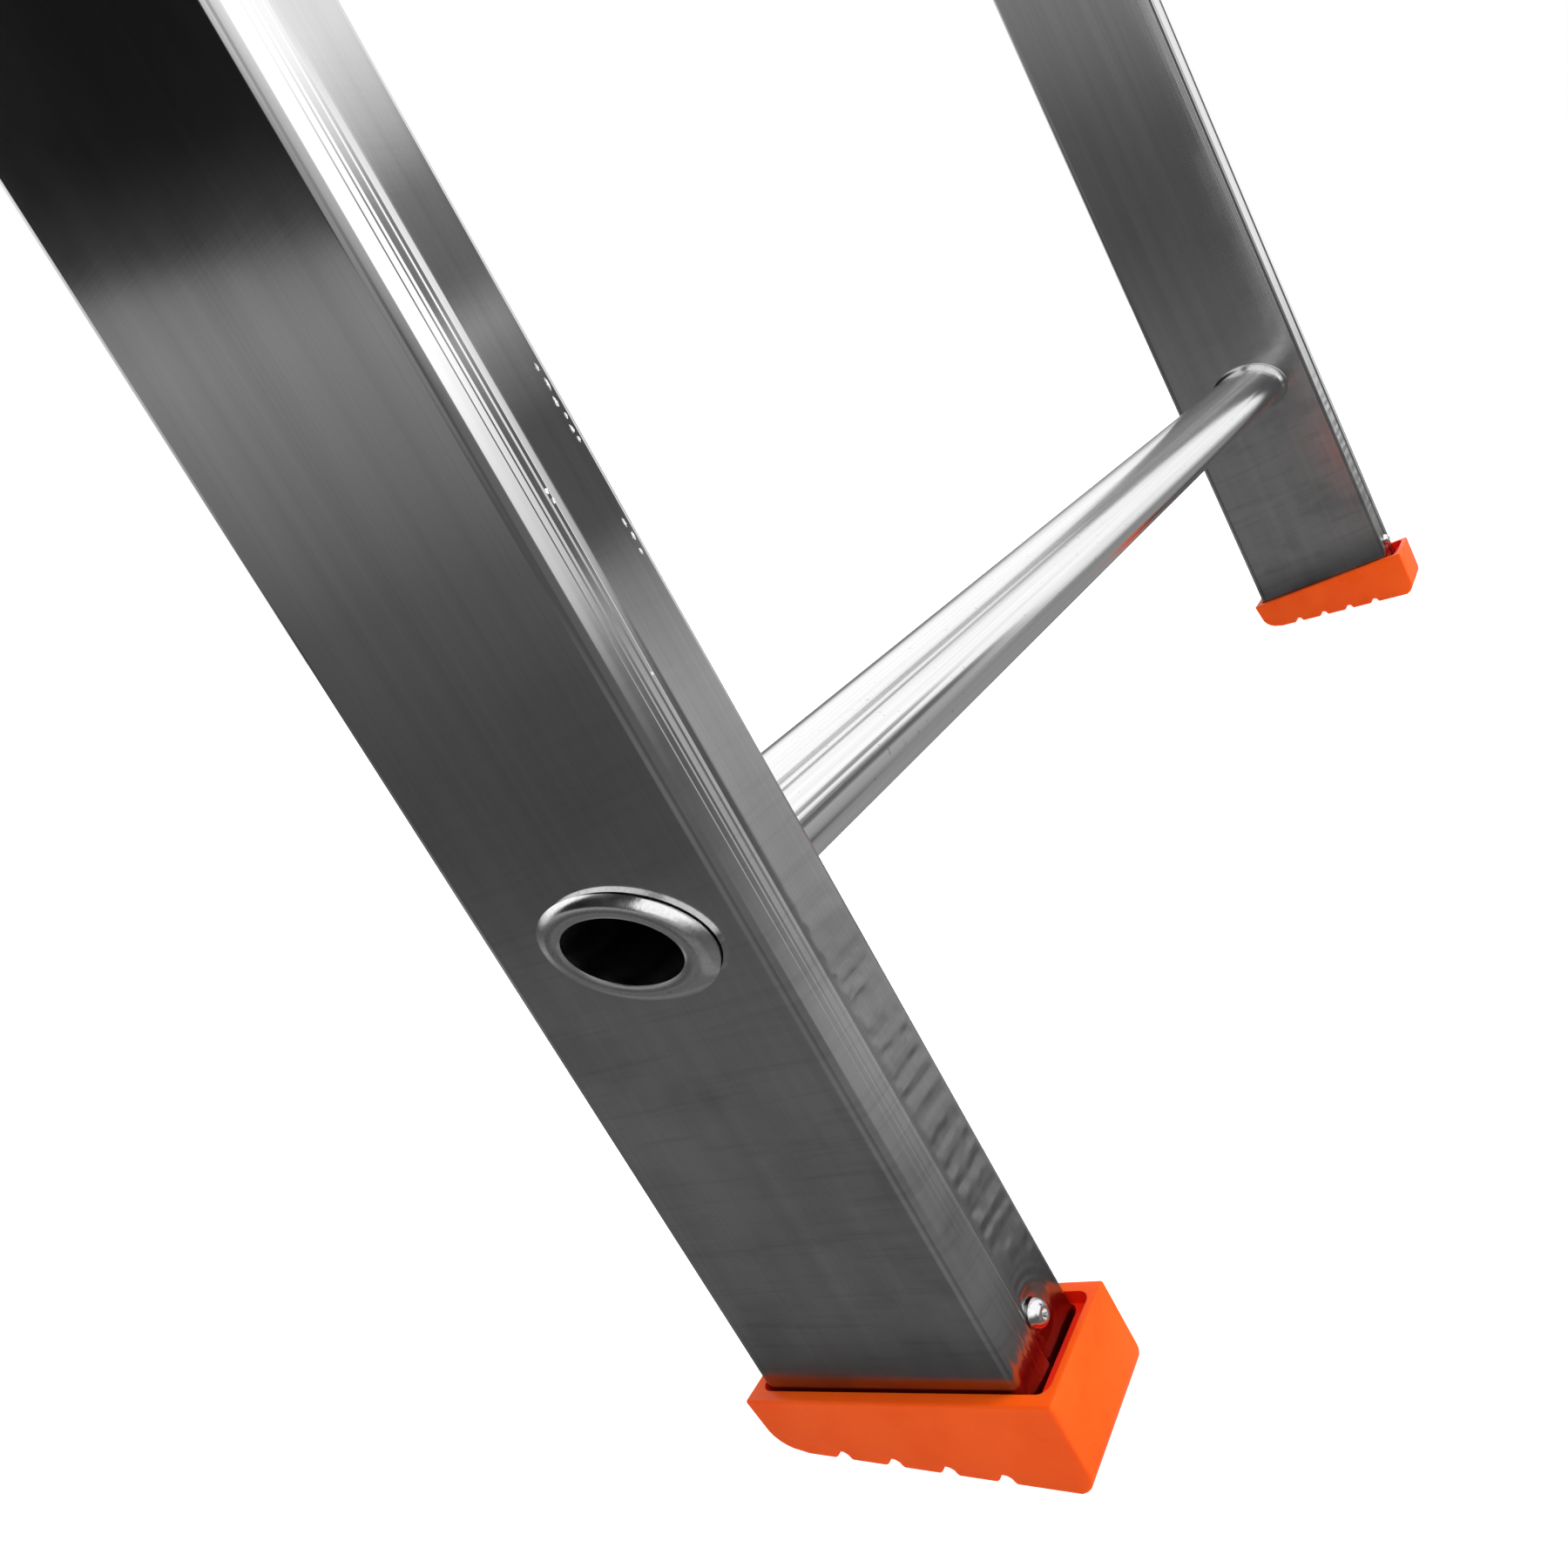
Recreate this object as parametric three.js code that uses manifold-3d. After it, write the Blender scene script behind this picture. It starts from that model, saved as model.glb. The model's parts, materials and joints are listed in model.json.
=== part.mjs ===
// Extension ladder of two aluminium sections, leaning on its feet. A fly section
// slides up the front of a base section and hangs from it by two swinging hooks.
// Millimetres. X runs along the rungs, +Y from the climber to the wall, +Z up.
import * as THREE from 'three';
import { mergeVertices } from 'three/addons/utils/BufferGeometryUtils.js';
import Module from 'manifold-3d';

const wasm = await Module();
wasm.setup();

// Sections
const LADDER_WIDTH = 520;
const LEAN = THREE.MathUtils.degToRad(84);
const RUNG_COUNT = 7;
const RUNG_PITCH = 280;
const FIRST_RUNG = 108;
const STILE_LENGTH = FIRST_RUNG + RUNG_PITCH * (RUNG_COUNT - 1) + 150;
const SECTION_GAP = 6;
const FLY_RAISED_RUNGS = 3;
const FLY_BOTTOM_TRIM = 20;
const CLEARANCE = 0.3;

// Stile: a closed box section whose front face has a groove and a sunk land
const STILE_THICK = 23;
const STILE_DEPTH = 64;
const STILE_WALL = 1.6;
const STILE_CORNER = 3;
const BAND_WIDTH = 8.8;
const GROOVE_WIDTH = 1.4;
const GROOVE_DEPTH = 0.8;
const LAND_DEPTH = 0.4;

// Rung: an oval tube, beaded against the inner faces and rolled over outside. It is
// tilted so that its tread is level when the ladder leans at its steepest safe angle.
const RUNG_HALF_WIDTH = 15.5;
const RUNG_HALF_HEIGHT = 9.8;
const RUNG_TILT = THREE.MathUtils.degToRad(15);
const RUNG_WALL = 1.5;
const RUNG_CENTRE = 28;
const RUNG_SIDES = 12;
const BEAD_RISE = 2.2;
const BEAD_LENGTH = 5;
const LIP_RISE = 4.5;
const LIP_THICK = 2.4;
const LIP_FLATTENING = 0.87;

// Foot and caps
const FOOT_WALL = 2.6;
const FOOT_GAP = 0.6;
const FOOT_FRONT_GAP = 3.4;
const FOOT_COLLAR = 8;
const SOLE_REAR_HEIGHT = 13;
const TREAD_COUNT = 5;
const TREAD_GROOVE_WIDTH = 3.6;
const TREAD_GROOVE_DEPTH = 2.2;
const FOOT_CORNER = 5;
const FOOT_PLUG_HEIGHT = 34;
const PLUG_WALL = 2;
const CAP_PLUG_HEIGHT = 22;
const CAP_THICK = 7;
const CAP_BEVEL = 2.3;
const CAP_OVERHANG = 1.5;
const WELD_DEPTH = 1;

// Rivets
const RIVET_SHANK = 2.4;
const RIVET_HEAD = 4.2;
const RIVET_HEAD_HEIGHT = 1.8;
const RIVET_BULB = 3.8;
const RIVET_SIDES = 8;
const RIVET_CROWN = 0.6;
const FOOT_RIVET_SHANK = 1.1;
const FOOT_RIVET_INSET = 12.3;
const FOOT_RIVET_HEIGHT = 13.5;

// Guide brackets
const GUIDE_PLATE = 2.5;
const GUIDE_HEIGHT = 56;
const GUIDE_STANDOFF = 4.2;
const GUIDE_WRAP = 18;
const GUIDE_WRAP_GAP = 1.5;
const GUIDE_EDGE_INSET = 8;
const GUIDE_FROM_END = 44;
const GUIDE_RIVET_PITCH = 32;

// Rung hooks, measured from the centre of the rung that they hang on
const HOOK_THICK = 6;
const HOOK_PIN_HEIGHT = 30;
const HOOK_PIN_FROM_FACE = 16;
const HOOK_BOSS = 12;
const HOOK_PIN_RADIUS = 3.6;
const HOOK_TIP_DROP = 6;
const HOOK_TIP_WIDTH = 8;
const HOOK_ARM_RISE = 15;
const HOOK_BACK_REACH = 29;
const BRACKET_THICK = 5;
const BRACKET_REACH = 34;
const BRACKET_RIVET_DEPTH = 24;
const BRACKET_RIVET_PITCH = 18;

const ALUMINIUM = { color: 0x9a9b9c, roughness: 0.38, metalness: 1 };
const POLISHED = { color: 0xc9cacb, roughness: 0.18, metalness: 1 };
const STEEL = { color: 0x8c9096, roughness: 0.42, metalness: 1 };
const ORANGE = { color: 0xe0480f, roughness: 0.45, metalness: 0 };

const FLY_FRONT = -(STILE_DEPTH + SECTION_GAP);
const STILE_OUTER = LADDER_WIDTH / 2;
const STILE_INNER = STILE_OUTER - STILE_THICK;
const LEFT = -1;
const RIGHT = 1;
const SIDE_NAMES = { [LEFT]: 'left', [RIGHT]: 'right' };

// Turns a shape drawn with depth along x and height along y into the ladder's frame
const SIDE_VIEW = new THREE.Matrix4().makeBasis(
  new THREE.Vector3(0, 1, 0),
  new THREE.Vector3(0, 0, 1),
  new THREE.Vector3(1, 0, 0),
);

// ---- solids ---------------------------------------------------------------

// Welds a geometry into one closed surface that faces out.
function weld(geometry) {
  const bare = geometry.clone();
  bare.deleteAttribute('normal');
  bare.deleteAttribute('uv');
  const welded = mergeVertices(bare, 1e-4);
  if (signedVolume(welded) < 0) {
    flip(welded);
  }
  return welded;
}

function signedVolume(geometry) {
  const { array } = geometry.index;
  const corner = (i) => new THREE.Vector3().fromBufferAttribute(geometry.attributes.position, array[i]);
  let volume = 0;
  for (let i = 0; i < array.length; i += 3) {
    volume += corner(i).dot(corner(i + 1).cross(corner(i + 2))) / 6;
  }
  return volume;
}

function flip(geometry) {
  const { array } = geometry.index;
  for (let i = 0; i < array.length; i += 3) {
    [array[i + 1], array[i + 2]] = [array[i + 2], array[i + 1]];
  }
}

function toManifold(geometry) {
  const welded = weld(geometry);
  const mesh = new wasm.Mesh({
    numProp: 3,
    vertProperties: Float32Array.from(welded.attributes.position.array),
    triVerts: Uint32Array.from(welded.index.array),
  });
  return new wasm.Manifold(mesh);
}

function fromManifold(manifold) {
  const { numProp, vertProperties, triVerts } = manifold.getMesh();
  const geometry = new THREE.BufferGeometry();
  geometry.setAttribute('position', new THREE.BufferAttribute(vertProperties, numProp));
  geometry.setIndex(new THREE.BufferAttribute(triVerts, 1));
  return geometry;
}

function subtract(body, cutters) {
  let result = toManifold(body);
  for (const cutter of cutters) {
    result = result.subtract(toManifold(cutter));
  }
  return fromManifold(result);
}

function unite(first, ...others) {
  let result = toManifold(first);
  for (const other of others) {
    result = result.add(toManifold(other));
  }
  return fromManifold(result);
}

function mirrorAcross(geometry) {
  const mirrored = weld(geometry).scale(-1, 1, 1);
  flip(mirrored);
  return mirrored;
}

function box(min, max) {
  const size = max.clone().sub(min);
  const centre = min.clone().add(max).multiplyScalar(0.5);
  return new THREE.BoxGeometry(size.x, size.y, size.z).translate(centre.x, centre.y, centre.z);
}

function rod(radius, from, to, sides = RIVET_SIDES) {
  const length = from.distanceTo(to);
  const geometry = new THREE.CylinderGeometry(radius, radius, length, sides);
  const along = to.clone().sub(from).normalize();
  geometry.applyQuaternion(new THREE.Quaternion().setFromUnitVectors(THREE.Object3D.DEFAULT_UP, along));
  const middle = from.clone().add(to).multiplyScalar(0.5);
  return geometry.translate(middle.x, middle.y, middle.z);
}

function roundedBox(x0, y0, x1, y1, radius) {
  const shape = new THREE.Shape();
  shape.absarc(x0 + radius, y0 + radius, radius, Math.PI, Math.PI * 1.5);
  shape.absarc(x1 - radius, y0 + radius, radius, Math.PI * 1.5, Math.PI * 2);
  shape.absarc(x1 - radius, y1 - radius, radius, 0, Math.PI / 2);
  shape.absarc(x0 + radius, y1 - radius, radius, Math.PI / 2, Math.PI);
  return shape;
}

function extrude(shape, from, to, curveSegments = 3) {
  const geometry = new THREE.ExtrudeGeometry(shape, { depth: to - from, bevelEnabled: false, curveSegments });
  return geometry.translate(0, 0, from);
}

function makeMesh(name, geometry, look) {
  const finished = weld(geometry);
  finished.computeVertexNormals();
  const mesh = new THREE.Mesh(finished, new THREE.MeshStandardMaterial({ ...look, flatShading: true }));
  mesh.name = name;
  return mesh;
}

// ---- stiles ---------------------------------------------------------------

// The left stile's outline: x from its outer face inwards, y from the front face back.
function stileSection() {
  const r = STILE_CORNER;
  const land = BAND_WIDTH + GROOVE_WIDTH;
  const shape = new THREE.Shape();
  shape.absarc(r, r, r, Math.PI, Math.PI * 1.5);
  shape.lineTo(BAND_WIDTH, 0);
  shape.lineTo(BAND_WIDTH + GROOVE_WIDTH / 2, GROOVE_DEPTH);
  shape.lineTo(land, LAND_DEPTH);
  shape.absarc(STILE_THICK - r, r + LAND_DEPTH, r, Math.PI * 1.5, Math.PI * 2);
  shape.absarc(STILE_THICK - r, STILE_DEPTH - r, r, 0, Math.PI / 2);
  shape.absarc(r, STILE_DEPTH - r, r, Math.PI / 2, Math.PI);
  const w = STILE_WALL;
  const inner = roundedBox(w, w + LAND_DEPTH, STILE_THICK - w, STILE_DEPTH - w, r - w);
  shape.holes.push(inner);
  return shape;
}

function rungHole(height) {
  const hole = new THREE.CylinderGeometry(1, 1, STILE_THICK * 2, RUNG_SIDES);
  hole.rotateZ(-Math.PI / 2);
  hole.scale(1, RUNG_HALF_WIDTH + CLEARANCE, RUNG_HALF_HEIGHT + CLEARANCE);
  hole.rotateX(RUNG_TILT);
  return hole.translate(STILE_THICK / 2, RUNG_CENTRE, height);
}

// A rivet hole through one wall only, reaching the given depth either side of its face.
function wallHole(point, normal, depth = STILE_WALL * 2, shank = RIVET_SHANK) {
  const reach = normal.clone().multiplyScalar(depth);
  return rod(shank + CLEARANCE, point.clone().sub(reach), point.clone().add(reach));
}

function leftStile(extraHoles, bottom = 0) {
  const cutters = [...extraHoles];
  for (let i = 0; i < RUNG_COUNT; i += 1) {
    cutters.push(rungHole(FIRST_RUNG + i * RUNG_PITCH));
  }
  const body = subtract(extrude(stileSection(), bottom, STILE_LENGTH), cutters);
  return body.translate(-STILE_OUTER, 0, 0);
}

// ---- rungs ----------------------------------------------------------------

// Half of the rung's profile, from mid-span to its rolled end: radius and distance.
function rungEndProfile() {
  const r = RUNG_HALF_WIDTH;
  const inside = STILE_INNER - CLEARANCE;
  const outside = STILE_OUTER + CLEARANCE;
  const point = (radius, distance) => new THREE.Vector2(radius, distance);
  return [
    point(r, inside - BEAD_LENGTH),
    point(r + BEAD_RISE, inside),
    point(r, inside),
    point(r, outside),
    point(r + LIP_RISE, outside),
    point(r + LIP_RISE / 2, outside + LIP_THICK),
    point(r - RUNG_WALL, outside),
  ];
}

function rungTube() {
  const rightEnd = rungEndProfile();
  const leftEnd = rightEnd.map((p) => new THREE.Vector2(p.x, -p.y)).reverse();
  const profile = [...leftEnd, ...rightEnd, leftEnd[0]];
  const tube = new THREE.LatheGeometry(profile, RUNG_SIDES);
  tube.rotateZ(-Math.PI / 2);
  flattenLips(tube);
  tube.scale(1, 1, RUNG_HALF_HEIGHT / RUNG_HALF_WIDTH);
  return tube.rotateX(RUNG_TILT);
}

// The rolled lips spread further along the stile's depth than up and down it.
function flattenLips(tube) {
  const { position } = tube.attributes;
  const edge = RUNG_HALF_WIDTH + LIP_RISE / 4;
  for (let i = 0; i < position.count; i += 1) {
    const radius = Math.hypot(position.getY(i), position.getZ(i));
    if (Math.abs(position.getX(i)) > STILE_OUTER && radius > edge) {
      position.setZ(i, position.getZ(i) * LIP_FLATTENING);
    }
  }
}

// ---- feet and caps --------------------------------------------------------

// The hollow block that fills a stile's end, open at the end away from its floor.
function stilePlug(bottom, top) {
  const inset = STILE_WALL + CLEARANCE;
  const x0 = inset;
  const x1 = STILE_THICK - inset;
  const y0 = inset + LAND_DEPTH;
  const y1 = STILE_DEPTH - inset;
  const w = PLUG_WALL;
  const shape = roundedBox(x0, y0, x1, y1, STILE_CORNER - STILE_WALL);
  shape.holes.push(roundedBox(x0 + w, y0 + w, x1 - w, y1 - w, w / 2));
  return extrude(shape, bottom, top, 2);
}

// Height of the sole, level with the ground when the ladder leans.
function soleHeight(y) {
  const rear = STILE_DEPTH + FOOT_GAP + FOOT_WALL;
  return FOOT_COLLAR - SOLE_REAR_HEIGHT + (y - rear) / Math.tan(LEAN);
}

// The foot seen from the side: x is the depth, y the height above the stile's end.
function footProfile() {
  const front = -FOOT_FRONT_GAP - FOOT_WALL;
  const rear = STILE_DEPTH + FOOT_GAP + FOOT_WALL;
  const span = (rear - front - 2 * FOOT_CORNER) / TREAD_COUNT;
  const shape = new THREE.Shape();
  shape.moveTo(front, FOOT_COLLAR);
  shape.lineTo(front, soleHeight(front) + FOOT_CORNER);
  shape.lineTo(front + FOOT_CORNER * 0.3, soleHeight(front) + FOOT_CORNER * 0.3);
  shape.lineTo(front + FOOT_CORNER, soleHeight(front + FOOT_CORNER));
  for (let i = 1; i < TREAD_COUNT; i += 1) {
    addTreadGroove(shape, front + FOOT_CORNER + i * span);
  }
  shape.lineTo(rear - FOOT_CORNER, soleHeight(rear - FOOT_CORNER));
  shape.lineTo(rear - FOOT_CORNER * 0.3, soleHeight(rear) + FOOT_CORNER * 0.3);
  shape.lineTo(rear, soleHeight(rear) + FOOT_CORNER);
  shape.lineTo(rear, FOOT_COLLAR);
  return shape;
}

function addTreadGroove(shape, y) {
  const half = TREAD_GROOVE_WIDTH / 2;
  const roof = soleHeight(y) + TREAD_GROOVE_DEPTH;
  shape.lineTo(y - half, soleHeight(y - half));
  shape.lineTo(y - half / 2, roof);
  shape.lineTo(y + half / 2, roof);
  shape.lineTo(y + half, soleHeight(y + half));
}

function leftFoot() {
  const margin = FOOT_GAP + FOOT_WALL;
  const block = extrude(footProfile(), -margin, STILE_THICK + margin).applyMatrix4(SIDE_VIEW);
  const pocket = box(
    new THREE.Vector3(-FOOT_GAP, -FOOT_FRONT_GAP, -CLEARANCE),
    new THREE.Vector3(STILE_THICK + FOOT_GAP, STILE_DEPTH + FOOT_GAP, FOOT_COLLAR * 2),
  );
  const shoe = subtract(block, [pocket]);
  const plug = stilePlug(-CLEARANCE - WELD_DEPTH, FOOT_PLUG_HEIGHT);
  const rivetPoint = new THREE.Vector3(FOOT_RIVET_INSET, STILE_WALL * 2, FOOT_RIVET_HEIGHT);
  const rivetHole = wallHole(rivetPoint, FRONT, STILE_WALL * 2, FOOT_RIVET_SHANK);
  return subtract(unite(shoe, plug), [rivetHole]).translate(-STILE_OUTER, 0, 0);
}

// A plug with a thin flange over the stile's end. It is drawn for the stile's top.
function leftCap() {
  const o = CAP_OVERHANG;
  const outline = roundedBox(-o, -o, STILE_THICK + o, STILE_DEPTH + o, STILE_CORNER + o);
  const flange = new THREE.ExtrudeGeometry(outline, {
    depth: CAP_THICK - CAP_BEVEL,
    bevelThickness: CAP_BEVEL,
    bevelSize: CAP_BEVEL,
    bevelOffset: -CAP_BEVEL,
    bevelSegments: 1,
    curveSegments: 2,
  });
  flange.translate(0, 0, CLEARANCE);
  const lowerBevel = box(
    new THREE.Vector3(-STILE_THICK, -STILE_THICK, -CAP_THICK),
    new THREE.Vector3(STILE_THICK * 2, STILE_DEPTH + STILE_THICK, CLEARANCE),
  );
  const plug = stilePlug(-CAP_PLUG_HEIGHT, CLEARANCE + WELD_DEPTH);
  return unite(subtract(flange, [lowerBevel]), plug).translate(-STILE_OUTER, 0, 0);
}

// ---- rivets ---------------------------------------------------------------

const FRONT = new THREE.Vector3(0, -1, 0);
const OUTWARDS = new THREE.Vector3(-1, 0, 0);
const INWARDS = new THREE.Vector3(1, 0, 0);

// A blind rivet on a surface point: a domed head outside and a bulb behind the grip.
function rivet(point, normal, grip, shank = RIVET_SHANK) {
  const head = RIVET_HEAD + shank - RIVET_SHANK;
  const bulb = RIVET_BULB + shank - RIVET_SHANK;
  const behind = -grip - 2 * CLEARANCE;
  const profile = [
    new THREE.Vector2(0, RIVET_HEAD_HEIGHT + CLEARANCE),
    new THREE.Vector2(head * RIVET_CROWN, RIVET_HEAD_HEIGHT + CLEARANCE),
    new THREE.Vector2(head, CLEARANCE),
    new THREE.Vector2(shank, CLEARANCE),
    new THREE.Vector2(shank, behind),
    new THREE.Vector2(bulb, behind),
    new THREE.Vector2(0, behind - RIVET_HEAD_HEIGHT),
  ];
  const geometry = new THREE.LatheGeometry(profile, RIVET_SIDES);
  geometry.applyQuaternion(new THREE.Quaternion().setFromUnitVectors(THREE.Object3D.DEFAULT_UP, normal));
  return geometry.translate(point.x, point.y, point.z);
}

// ---- guide brackets -------------------------------------------------------

// Rivet points of a guide bracket, on the left stile's outer face.
function guideRivetPoints(height) {
  const middle = STILE_DEPTH / 2;
  return [-0.5, 0.5].map((k) => (
    new THREE.Vector3(-STILE_OUTER, middle, height + k * GUIDE_RIVET_PITCH)
  ));
}

// A bent plate on the left stile's outer face. It steps out over the other section's
// stile and wraps its far edge. reach is +1 towards the wall or -1 towards the climber.
function leftGuide(height, reach) {
  const flat = -CLEARANCE - GUIDE_PLATE;
  const out = -GUIDE_STANDOFF - GUIDE_PLATE;
  const own = STILE_DEPTH / 2;
  const edge = own + GUIDE_WRAP_GAP;
  const near = own + SECTION_GAP;
  const far = near + STILE_DEPTH + GUIDE_WRAP_GAP;
  const shape = new THREE.Shape();
  shape.moveTo(flat, -own + GUIDE_EDGE_INSET);
  shape.lineTo(-CLEARANCE, -own + GUIDE_EDGE_INSET);
  shape.lineTo(-CLEARANCE, own - GUIDE_EDGE_INSET);
  shape.lineTo(-GUIDE_STANDOFF, edge);
  shape.lineTo(-GUIDE_STANDOFF, far);
  shape.lineTo(GUIDE_WRAP, far);
  shape.lineTo(GUIDE_WRAP, far + GUIDE_PLATE);
  shape.lineTo(out, far + GUIDE_PLATE);
  shape.lineTo(out, edge - GUIDE_PLATE / 2);
  shape.lineTo(flat, own - GUIDE_EDGE_INSET - GUIDE_PLATE / 2);
  const plate = extrude(shape, height - GUIDE_HEIGHT / 2, height + GUIDE_HEIGHT / 2);
  plate.scale(1, reach, 1).translate(-STILE_OUTER, STILE_DEPTH / 2, 0);
  const holes = guideRivetPoints(height).map((p) => wallHole(p, OUTWARDS));
  return subtract(plate, holes);
}

// ---- rung hooks -----------------------------------------------------------

// Heights here are from the hung-on rung's centre, depths from the base's front face.
const HOOK_PIN_DEPTH = -SECTION_GAP - HOOK_PIN_FROM_FACE;
const BRACKET_FACE = -STILE_INNER + CLEARANCE + BRACKET_THICK;
const HOOK_FACE = BRACKET_FACE + 2 * CLEARANCE;

// Points round the tilted rung's surface, as depth and height from its centre.
function rungOutline() {
  const points = [];
  for (let degrees = 0; degrees < 360; degrees += 5) {
    const angle = THREE.MathUtils.degToRad(degrees);
    const point = new THREE.Vector2(RUNG_HALF_WIDTH * Math.cos(angle), RUNG_HALF_HEIGHT * Math.sin(angle));
    points.push(point.rotateAround(new THREE.Vector2(), RUNG_TILT));
  }
  return points;
}

function rungTop() {
  return Math.max(...rungOutline().map((p) => p.y)) + CLEARANCE;
}

// Distance from the hook's pin to just past the far side of the oval rung.
function hookMouthRadius() {
  const toRung = new THREE.Vector2(RUNG_CENTRE - HOOK_PIN_DEPTH, -HOOK_PIN_HEIGHT);
  const reach = Math.max(...rungOutline().map((p) => p.add(toRung).length()));
  return reach + CLEARANCE;
}

// The hook's mouth is an arc round its own pin, so it can swing clear of the rung.
function hookProfile() {
  const under = rungTop();
  const mouth = hookMouthRadius();
  const angleAt = (height) => Math.asin((height - HOOK_PIN_HEIGHT) / mouth);
  const depthAt = (height) => HOOK_PIN_DEPTH + mouth * Math.cos(angleAt(height));
  const boss = HOOK_BOSS;
  const shape = new THREE.Shape();
  shape.absarc(HOOK_PIN_DEPTH, HOOK_PIN_HEIGHT, boss, Math.PI / 2, Math.PI * 1.6);
  shape.lineTo(HOOK_PIN_DEPTH + HOOK_BACK_REACH, under);
  shape.lineTo(depthAt(under), under);
  shape.absarc(HOOK_PIN_DEPTH, HOOK_PIN_HEIGHT, mouth, angleAt(under), angleAt(-HOOK_TIP_DROP), true);
  shape.lineTo(depthAt(-HOOK_TIP_DROP) + HOOK_TIP_WIDTH * 0.7, -HOOK_TIP_DROP);
  shape.lineTo(depthAt(under) + HOOK_TIP_WIDTH, under);
  shape.lineTo(depthAt(under) + HOOK_TIP_WIDTH * 0.4, under + HOOK_ARM_RISE);
  shape.lineTo(HOOK_PIN_DEPTH + HOOK_BACK_REACH, HOOK_PIN_HEIGHT + boss / 2);
  return shape;
}

function leftHook() {
  const shape = hookProfile();
  const pinHole = new THREE.Path();
  pinHole.absarc(HOOK_PIN_DEPTH, HOOK_PIN_HEIGHT, HOOK_PIN_RADIUS + CLEARANCE, 0, Math.PI * 2);
  shape.holes.push(pinHole);
  const plate = extrude(shape, HOOK_FACE, HOOK_FACE + HOOK_THICK, 6).applyMatrix4(SIDE_VIEW);
  return plate.translate(0, 0, FIRST_RUNG);
}

function bracketRivetPoints() {
  const depth = HOOK_PIN_DEPTH - BRACKET_RIVET_DEPTH;
  const middle = FIRST_RUNG + HOOK_PIN_HEIGHT + HOOK_BOSS / 2;
  return [-0.5, 0.5].map((k) => (
    new THREE.Vector3(BRACKET_FACE, depth, middle + k * BRACKET_RIVET_PITCH)
  ));
}

function hookPinPoint() {
  return new THREE.Vector3(HOOK_FACE + HOOK_THICK + CLEARANCE, HOOK_PIN_DEPTH, FIRST_RUNG + HOOK_PIN_HEIGHT);
}

function leftHookBracket() {
  const front = HOOK_PIN_DEPTH - BRACKET_REACH;
  const back = HOOK_PIN_DEPTH + HOOK_BOSS;
  const bottom = HOOK_PIN_HEIGHT - HOOK_BOSS;
  const shape = roundedBox(front, bottom, back, bottom + HOOK_BOSS * 3, HOOK_BOSS / 2);
  const plate = extrude(shape, BRACKET_FACE - BRACKET_THICK, BRACKET_FACE).applyMatrix4(SIDE_VIEW);
  plate.translate(0, 0, FIRST_RUNG);
  const holes = bracketRivetPoints().map((p) => wallHole(p, INWARDS, BRACKET_THICK * 2));
  return subtract(plate, [...holes, pinHoleThroughWall()]);
}

function pinHoleThroughWall() {
  const centre = hookPinPoint();
  const from = new THREE.Vector3(-STILE_INNER - STILE_WALL * 2, centre.y, centre.z);
  return rod(HOOK_PIN_RADIUS + CLEARANCE, from, centre);
}

function leftHookPin() {
  const point = hookPinPoint();
  const grip = point.x + STILE_INNER + STILE_WALL;
  return rivet(point, INWARDS, grip, HOOK_PIN_RADIUS);
}

// ---- sections -------------------------------------------------------------

// Adds a left part and its mirror image, each with its own name.
function addPair(group, name, geometry, look) {
  group.add(makeMesh(`${name}_${SIDE_NAMES[LEFT]}`, geometry, look));
  group.add(makeMesh(`${name}_${SIDE_NAMES[RIGHT]}`, mirrorAcross(geometry), look));
}

function addRungs(group, prefix) {
  for (let i = 0; i < RUNG_COUNT; i += 1) {
    const rung = makeMesh(`${prefix}_rung_${i + 1}`, rungTube(), POLISHED);
    rung.position.set(0, RUNG_CENTRE, FIRST_RUNG + i * RUNG_PITCH);
    group.add(rung);
  }
}

function addGuides(group, prefix, height, reach) {
  addPair(group, `${prefix}_guide`, leftGuide(height, reach), STEEL);
  const grip = GUIDE_PLATE + CLEARANCE + STILE_WALL;
  for (const [i, point] of guideRivetPoints(height).entries()) {
    point.x -= GUIDE_PLATE + CLEARANCE;
    addPair(group, `${prefix}_guide_rivet_${i + 1}`, rivet(point, OUTWARDS, grip), STEEL);
  }
}

function baseSection() {
  const group = new THREE.Group();
  const guideHeight = STILE_LENGTH - GUIDE_FROM_END;
  const footRivet = new THREE.Vector3(FOOT_RIVET_INSET, LAND_DEPTH, FOOT_RIVET_HEIGHT);
  const toStile = (p) => p.clone().add(new THREE.Vector3(STILE_OUTER, 0, 0));
  const holes = guideRivetPoints(guideHeight).map((p) => wallHole(toStile(p), OUTWARDS));
  holes.push(wallHole(footRivet, FRONT, STILE_WALL * 2, FOOT_RIVET_SHANK));
  addPair(group, 'base_stile', leftStile(holes), ALUMINIUM);
  addRungs(group, 'base');
  addPair(group, 'foot', leftFoot(), ORANGE);
  const footRivetPoint = footRivet.clone().sub(new THREE.Vector3(STILE_OUTER, 0, 0));
  const footRivetGrip = STILE_WALL + CLEARANCE + PLUG_WALL;
  addPair(group, 'foot_rivet', rivet(footRivetPoint, FRONT, footRivetGrip, FOOT_RIVET_SHANK), POLISHED);
  addPair(group, 'base_top_cap', leftCap().translate(0, 0, STILE_LENGTH), ORANGE);
  addGuides(group, 'base', guideHeight, -1);
  return group;
}

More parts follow.
